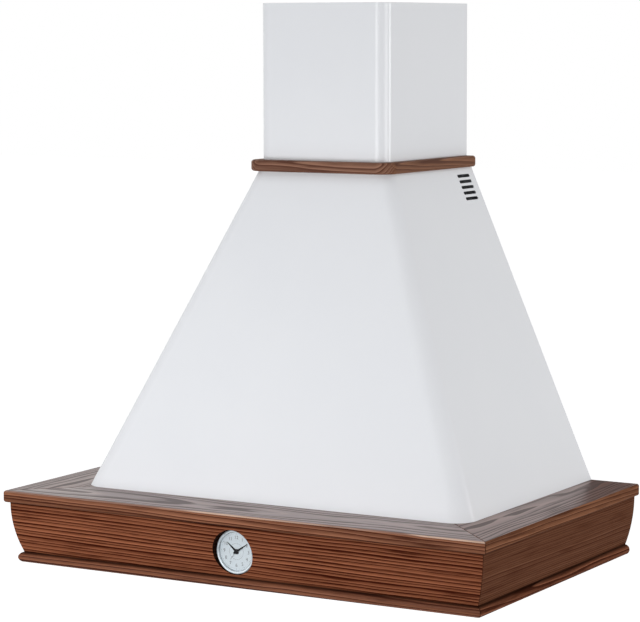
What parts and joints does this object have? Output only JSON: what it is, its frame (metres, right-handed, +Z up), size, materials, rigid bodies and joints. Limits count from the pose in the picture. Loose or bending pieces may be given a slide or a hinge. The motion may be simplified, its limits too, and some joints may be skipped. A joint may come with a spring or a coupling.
{
  "type": "range hood",
  "caption": "Wall range hood: white pyramid canopy and square flue cover on a moulded brown wooden base with an inset clock, blower and grease filters inside.",
  "frame": {"origin": "centre of the four wall bolts, on the wall plane", "axes": "+Z up, +Y into the wall, so the front faces -Y; +X to the right as seen from the front"},
  "size_m": [0.9, 0.58, 0.932],
  "materials": {
    "painted_white": "satin paint",
    "stained_wood": "brown stain under satin lacquer, fine dark grain",
    "plain_wood": "bare",
    "zinc_steel": "zinc plated",
    "panel_steel": "satin grey",
    "grey_plastic": "moulded",
    "flap_plastic": "moulded",
    "motor_paint": "dark grey",
    "aluminium": "satin",
    "white_plastic": "moulded",
    "black_plastic": "smooth",
    "dark_plastic": "fine texture",
    "lamp_metal": "polished",
    "clear_glass": "clear",
    "frosted_glass": "frosted",
    "dial_face": "printed"
  },
  "bodies": {
    "hood": {"canopy": "painted_white", "lower_flue": "painted_white", "front_board": "stained_wood", "left_board": "stained_wood", "right_board": "stained_wood", "front_fascia": "stained_wood", "left_fascia": "stained_wood", "right_fascia": "stained_wood", "front_bead": "stained_wood", "left_bead": "stained_wood", "right_bead": "stained_wood", "collar": "stained_wood", "corner_blocks": "plain_wood", "back_panel": "zinc_steel", "blower_shelf": "zinc_steel", "motor_bracket": "zinc_steel", "frame_screws": "zinc_steel", "blower_screws": "zinc_steel", "flap_pin": "zinc_steel", "under_panel": "panel_steel", "blower_housing_left": "grey_plastic", "blower_housing_right": "grey_plastic", "outlet_adapter": "grey_plastic", "duct_collar": "grey_plastic", "motor": "motor_paint", "capacitor": "aluminium", "junction_box": "white_plastic", "junction_lid": "white_plastic", "cable_gland": "black_plastic", "clock_movement": "black_plastic", "switch_panel": "dark_plastic", "lamp_left": "lamp_metal", "lamp_right": "lamp_metal", "clock_case": "lamp_metal", "clock_glass": "clear_glass", "lamp_glass_left": "frosted_glass", "lamp_glass_right": "frosted_glass", "clock_dial": "dial_face"},
    "filter_left": {"filter_frame_left": "aluminium", "filter_mesh_left": "aluminium"},
    "filter_right": {"filter_frame_right": "aluminium", "filter_mesh_right": "aluminium"},
    "latch_left": {"filter_latch_left": "dark_plastic"},
    "latch_right": {"filter_latch_right": "dark_plastic"},
    "wheel": {"impeller": "grey_plastic", "motor_shaft": "zinc_steel"},
    "front_flap": {"flap_front": "flap_plastic"},
    "rear_flap": {"flap_rear": "flap_plastic"},
    "light_button": {"button_light": "black_plastic"},
    "stop_button": {"button_stop": "black_plastic"},
    "speed_1_button": {"button_speed_1": "black_plastic"},
    "speed_2_button": {"button_speed_2": "black_plastic"},
    "speed_3_button": {"button_speed_3": "black_plastic"},
    "minute": {"minute_hand": "black_plastic"},
    "hour": {"hour_hand": "black_plastic"},
    "second": {"second_hand": "black_plastic"},
    "flue_slide": {"upper_flue": "painted_white", "flue_bracket": "zinc_steel"}
  },
  "joints": [
    {"name": "filter_left_tilt", "type": "hinge", "parent": "hood", "child": "filter_left", "pos_m": [-0.156, -0.0652, -0.4746], "axis": [1, 0, 0], "range_deg": [0, 60]},
    {"name": "latch_left_slide", "type": "slide", "parent": "filter_left", "child": "latch_left", "axis": [0, 1, 0], "range_m": [0, 0.007], "stiffness_N_per_m": 300, "springref_m": -0.008},
    {"name": "filter_right_tilt", "type": "hinge", "parent": "hood", "child": "filter_right", "pos_m": [0.156, -0.0652, -0.4746], "axis": [1, 0, 0], "range_deg": [0, 60]},
    {"name": "latch_right_slide", "type": "slide", "parent": "filter_right", "child": "latch_right", "axis": [0, 1, 0], "range_m": [0, 0.007], "stiffness_N_per_m": 300, "springref_m": -0.008},
    {"name": "wheel_spin", "type": "hinge", "parent": "hood", "child": "wheel", "pos_m": [0, -0.221, -0.13], "axis": [1, 0, 0], "continuous": true},
    {"name": "front_flap_swing", "type": "hinge", "parent": "hood", "child": "front_flap", "pos_m": [0, -0.147, 0.0787], "axis": [-1, 0, 0], "range_deg": [0, 75]},
    {"name": "rear_flap_swing", "type": "hinge", "parent": "hood", "child": "rear_flap", "pos_m": [0, -0.147, 0.0787], "axis": [1, 0, 0], "range_deg": [0, 75]},
    {"name": "light_press", "type": "slide", "parent": "hood", "child": "light_button", "axis": [0, 0, 1], "range_m": [0, 0.0025], "stiffness_N_per_m": 250, "springref_m": -0.003},
    {"name": "stop_press", "type": "slide", "parent": "hood", "child": "stop_button", "axis": [0, 0, 1], "range_m": [0, 0.0025], "stiffness_N_per_m": 250, "springref_m": -0.003},
    {"name": "speed_1_press", "type": "slide", "parent": "hood", "child": "speed_1_button", "axis": [0, 0, 1], "range_m": [0, 0.0025], "stiffness_N_per_m": 250, "springref_m": -0.003},
    {"name": "speed_2_press", "type": "slide", "parent": "hood", "child": "speed_2_button", "axis": [0, 0, 1], "range_m": [0, 0.0025], "stiffness_N_per_m": 250, "springref_m": -0.003},
    {"name": "speed_3_press", "type": "slide", "parent": "hood", "child": "speed_3_button", "axis": [0, 0, 1], "range_m": [0, 0.0025], "stiffness_N_per_m": 250, "springref_m": -0.003},
    {"name": "second_turn", "type": "hinge", "parent": "hood", "child": "second", "pos_m": [-0.006, -0.554, -0.441], "axis": [0, 1, 0], "continuous": true},
    {"name": "minute_turn", "type": "hinge", "parent": "hood", "child": "minute", "pos_m": [-0.006, -0.554, -0.441], "axis": [0, 1, 0], "continuous": true},
    {"name": "hour_turn", "type": "hinge", "parent": "hood", "child": "hour", "pos_m": [-0.006, -0.554, -0.441], "axis": [0, 1, 0], "continuous": true},
    {"name": "upper_flue_slide", "type": "slide", "parent": "hood", "child": "flue_slide", "axis": [0, 0, 1], "range_m": [0, 0.2]}
  ],
  "couplings": [
    {"joint": "minute_turn", "follows": "second_turn", "ratio": 0.016667},
    {"joint": "hour_turn", "follows": "second_turn", "ratio": 0.0013889}
  ]
}
